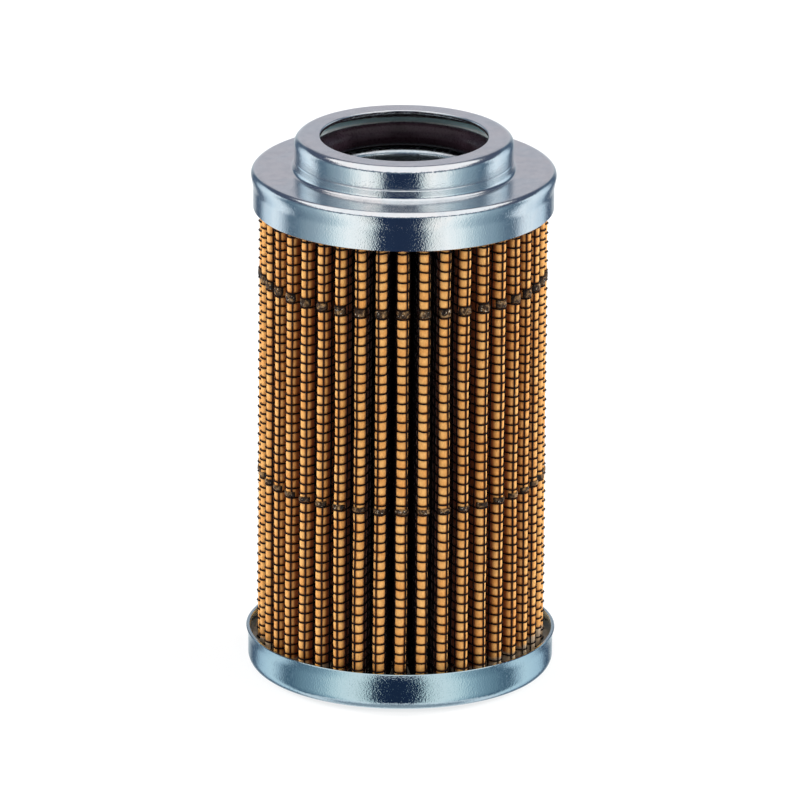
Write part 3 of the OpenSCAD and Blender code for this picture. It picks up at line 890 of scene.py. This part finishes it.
packLow = wires["first"] - 2 * wires["pitch"]
packRows = (wires["rows"] + 3) * wires["rowsACell"] + 1
wireLift = (fold["paper"] / 2 + wires["off"]) * mm
paperTree = makePaperTree()
paperSection = sectionMesh("paperSection", foldSection(fold, 5, 4, 1))
halves = (("paperRight", 0, fold["rightPleats"]),
          ("paperLeft", fold["rightPleats"], fold["pleats"] - fold["rightPleats"]))
for name, first, span in halves:
    sheet = grow(name, paperTree, paperSection, {
        "First Pleat": first, "Pleat Span": span, "Low": packLow * mm,
        "Row Step": wires["pitch"] / wires["rowsACell"] * mm, "Rows": packRows, "Material": filterPaper})
    hang(sheet, "filter_paper", "filter_paper")

wireSection = sectionMesh("wireSection", foldSection(fold, 4, 1, 1))
crossTree = makeCrossWireTree()
halfRows = wires["rows"] // 2
for name, row in (("crossWiresLow", 0), ("crossWiresHigh", halfRows)):
    height = (wires["first"] + row * wires["pitch"]) * mm
    rings = grow(name, crossTree, wireSection, {
        "Lift": wireLift, "First Height": height, "Wires": halfRows, "Material": coatedWire})
    hang(rings, "coated_wire", "cross_wires")

fineSection = sectionMesh("fineSection", foldSection(fold, 8, 2, 3))
longWires = grow("longWires", makeLongWireTree(), fineSection, {
    "Lift": wireLift - wires["longIn"] * mm, "Low": packLow * mm,
    "High": (packLow + wires["longHeight"]) * mm, "Material": coatedWire})
hang(longWires, "coated_wire", "long_wires")
knots = grow("wireKnots", makeKnotTree(), fineSection, {
    "Lift": wireLift - wires["knotIn"] * mm, "Material": coatedWire})
hang(knots, "coated_wire", "cross_wires")

crestRows = [row for row in foldSection(fold, 10, 2, 2) if abs(row[2]) < fold["crestR"] * glue["reach"]]
glueSection = sectionMesh("glueSection", crestRows)
glueTree = makeGlueTree()
for name, node, end in (("glueUpper", "glue_bead_upper", "upper"), ("glueLower", "glue_bead_lower", "lower")):
    low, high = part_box(node)
    beads = grow(name, glueTree, glueSection, {
        "Height": (low.z + high.z) / 2 - glue["drop"][end] * mm, "Width": glue["width"][end] * mm,
        "Lift": wireLift, "Material": smokyGlue})
    hang(beads, "glue", node)
print("pack is folded")


def dressNode(node, material):
    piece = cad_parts[node]
    piece.data.materials.clear()
    piece.data.materials.append(material)


dressNode("core_tube", coreSteel)
dressNode("inner_screen", innerWire)
dressNode("potting_upper", pottingStuff)
dressNode("potting_lower", pottingStuff)

# lamps are (name, degrees round from the front, degrees up, power)
studio = {"floorSize": 6.0, "floorColour": (0.95, 0.95, 0.95), "floorGlow": 0.75, "roomLight": 0.36,
          "roomTurn": 2.5, "lampSpread": 24.0, "lamps": (
              ("front", 4.0, 42.0, 0.55), ("boxLeft", -60.0, 34.0, 1.045), ("boxRight", 60.0, 34.0, 1.155),
              ("sideLeft", -108.0, 24.0, 3.4), ("sideRight", 108.0, 24.0, 3.4))}

# what the metal mirrors: colours by degrees from the front, and what lies over and under them
room = {
    "ring": (
        (0, (0.014, 0.027, 0.062)), (17.2, (0.018, 0.034, 0.075)), (20.2, (0.36, 0.44, 0.48)),
        (24, (0.70, 0.78, 0.78)), (33, (0.97, 1.0, 1.0)), (42, (0.93, 0.99, 1.0)), (50, (0.74, 0.86, 0.89)),
        (58, (0.44, 0.58, 0.65)), (70, (0.26, 0.37, 0.45)), (80, (0.20, 0.30, 0.37)), (90, (0.10, 0.165, 0.235)),
        (97, (0.095, 0.16, 0.22)), (104, (0.5, 0.62, 0.72)), (112, (0.78, 0.90, 0.97)), (122, (0.66, 0.80, 0.90)),
        (134, (0.46, 0.60, 0.72)), (140, (0.09, 0.135, 0.20)), (151, (0.07, 0.11, 0.17)),
        (157, (0.36, 0.42, 0.47)), (166, (0.52, 0.57, 0.62)), (175, (0.80, 0.85, 0.88))),
    "tableEdge": (0.93, 0.93, 0.98), "underTable": (0.36, 0.39, 0.44), "lampBar": (0.10, 0.15, 0.21),
    "ceiling": (0.97, 0.98, 1.0), "rail": (0.07, 0.09, 0.14), "wall": (0.49, 0.495, 0.55)}


def makeFloor(s):
    e = s["floorSize"]
    mesh = bpy.data.meshes.new("floor")
    mesh.from_pydata([(-e, -e, 0), (e, -e, 0), (e, e, 0), (-e, e, 0)], [], [(0, 1, 2, 3)])
    material, tree, shader = newMaterial("floorPaint", s["floorColour"], 0.9, 0.0, {
        "Specular IOR Level": 0.0})[:3]
    # for the camera alone the floor glows in part, so that it stays white and keeps the shadow
    seen = put(tree, "ShaderNodeLightPath").outputs["Is Camera Ray"]
    glow = made(tree, "ShaderNodeEmission", {"Color": (1, 1, 1, 1), "Strength": 1.0})
    share = times(tree, seen, s["floorGlow"])
    both = made(tree, "ShaderNodeMixShader", {0: share, 1: shader.outputs[0], 2: glow})
    tree.links.new(both, tree.nodes["Material Output"].inputs["Surface"])
    mesh.materials.append(material)
    floor = newObject("floor", mesh)
    floor.visible_glossy = False


def makeWorld(s, r):
    # a white room; metal mirrors it with its flags and softboxes, set out by direction
    world = bpy.data.worlds.new("studio")
    world.use_nodes = True
    scene.world = world
    tree = world.node_tree
    tree.nodes.clear()
    parts = split(tree, put(tree, "ShaderNodeTexCoord").outputs["Generated"])
    turn = maths(tree, "ARCTAN2", parts["X"], times(tree, parts["Y"], -1.0))
    turn = over(tree, maths(tree, "ABSOLUTE", plus(tree, turn, math.radians(s["roomTurn"]))), math.pi)
    # on the right the far bars lie a little further forward
    right = times(tree, smooth(tree, parts["X"], 0.0, 0.2), smooth(tree, turn, 0.64, 0.76, 0.0, 0.035))
    turn = minus(tree, turn, right)
    height = maths(tree, "ARCSINE", parts["Z"])

    def above(low, high):
        return smooth(tree, height, math.radians(low), math.radians(high))

    colour = ramp(tree, turn, [(degrees / 180, stop) for degrees, stop in r["ring"]])
    # low down a pale edge of the table shows first, and then the table's grey underside
    colour = mixColour(tree, times(tree, above(-48, -53), above(-66, -60), 0.75), colour, r["tableEdge"])
    colour = mixColour(tree, times(tree, above(-62, -68), 0.85), colour, r["underTable"])
    # a dark lamp bar, and the white ceiling over it
    colour = mixColour(tree, above(21, 27), colour, r["lampBar"])
    colour = mixColour(tree, above(35, 43), colour, r["ceiling"])
    # behind: a dark rail under the ceiling, and a lilac-grey wall
    rail = times(tree, smooth(tree, turn, 0.42, 0.55), times(tree, above(25, 31), above(50, 44)))
    colour = mixColour(tree, rail, colour, r["rail"])
    wall = times(tree, smooth(tree, turn, 0.86, 0.9), times(tree, above(1, 8), above(31, 25)))
    colour = mixColour(tree, wall, colour, r["wall"])
    path = put(tree, "ShaderNodeLightPath").outputs
    light = mixColour(tree, path["Is Glossy Ray"], (s["roomLight"],) * 3, colour)
    seen = maths(tree, "MAXIMUM", path["Is Camera Ray"], path["Is Transmission Ray"])
    light = mixColour(tree, seen, light, (1, 1, 1))
    sky = made(tree, "ShaderNodeBackground", {"Color": light, "Strength": 1.0})
    put(tree, "ShaderNodeOutputWorld", {"Surface": sky})


def makeLamps(s):
    for name, turn, height, power in s["lamps"]:
        lamp = bpy.data.lights.new(name, "SUN")
        lamp.energy = power
        lamp.angle = math.radians(s["lampSpread"])
        holder = newObject(name, lamp)
        a, e = math.radians(turn), math.radians(height)
        toLamp = Vector((math.sin(a) * math.cos(e), -math.cos(a) * math.cos(e), math.sin(e)))
        holder.rotation_mode = "QUATERNION"
        holder.rotation_quaternion = toLamp.to_track_quat("Z", "Y")
        holder.visible_glossy = False


view = {"distance": 2.2, "elevation": 18.5, "frameWidth": 0.1235, "aimZ": 43.2 * mm, "aimX": -0.32 * mm,
        "roll": 0.45, "nearest": 0.1, "farthest": 50.0}


def makeCamera(v):
    camera = bpy.data.cameras.new("camera")
    holder = newObject("camera", camera)
    camera.lens = camera.sensor_width * v["distance"] / v["frameWidth"]
    camera.clip_start, camera.clip_end = v["nearest"], v["farthest"]
    e = math.radians(v["elevation"])
    back = Vector((0, -math.cos(e), math.sin(e)))
    holder.location = Vector((v["aimX"], 0, v["aimZ"])) + back * v["distance"]
    holder.rotation_euler = (math.radians(90) - e, 0, 0)
    holder.rotation_euler.rotate_axis("Z", math.radians(v["roll"]))
    scene.camera = holder


makeFloor(studio)
makeWorld(studio, room)
makeLamps(studio)
makeCamera(view)
scene.view_settings.view_transform = "Standard"
print("studio is set")
